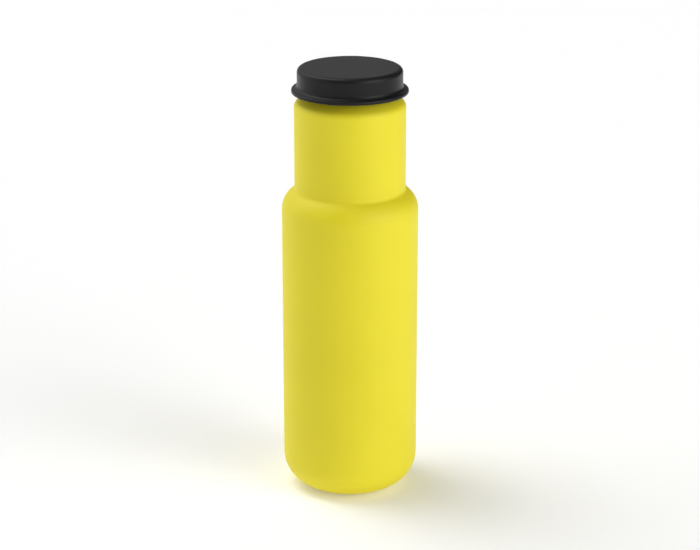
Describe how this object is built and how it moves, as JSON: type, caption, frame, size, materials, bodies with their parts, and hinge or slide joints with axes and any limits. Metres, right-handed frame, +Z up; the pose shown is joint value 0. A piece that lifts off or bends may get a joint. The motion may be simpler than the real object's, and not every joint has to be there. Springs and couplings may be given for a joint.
{
  "type": "water bottle",
  "caption": "Insulated steel bicycle water bottle: straight body with a narrower neck section and a flat screw lid that winds off on its thread.",
  "frame": {"origin": "centre of the bottle's foot, on the surface it stands on", "axes": "+Z up along the bottle's axis, from the foot to the lid; +X and +Y are free, since the outer form is round"},
  "size_m": [0.074, 0.074, 0.2377],
  "materials": {
    "body_coat": "matt fine-texture powder coat",
    "vessel_steel": "drawn and lightly brushed stainless",
    "cover_steel": "spun stainless",
    "foil": "bright foil",
    "getter_alloy": "sintered",
    "seal_glass": "fired solder bead",
    "pad_rubber": "matt silicone",
    "lid_plastic": "satin moulded polypropylene",
    "liner_plastic": "moulded polypropylene",
    "lid_foam": "closed-cell foam",
    "gasket_rubber": "translucent silicone"
  },
  "bodies": {
    "bottle": {"outer_shell": "body_coat", "outer_base": "body_coat", "inner_vessel": "vessel_steel", "inner_base": "vessel_steel", "radiation_foil": "foil", "getter": "getter_alloy", "getter_clip": "vessel_steel", "vacuum_seal": "seal_glass", "base_cover": "cover_steel", "base_pad": "pad_rubber"},
    "lid_seal": {"lid_gasket": "gasket_rubber"},
    "lid": {"lid_shell": "lid_plastic", "lid_liner": "liner_plastic", "lid_insulation": "lid_foam"}
  },
  "joints": [
    {"name": "lid_lift", "type": "slide", "parent": "bottle", "child": "lid_seal", "axis": [0, 0, 1], "range_m": [0, 0.0121]},
    {"name": "lid_turn", "type": "hinge", "parent": "lid_seal", "child": "lid", "pos_m": [0, 0, 0.2285], "axis": [0, 0, 1], "range_deg": [0, 720]}
  ],
  "couplings": [
    {"joint": "lid_lift", "follows": "lid_turn", "m_per_rad": 0.00095493}
  ]
}
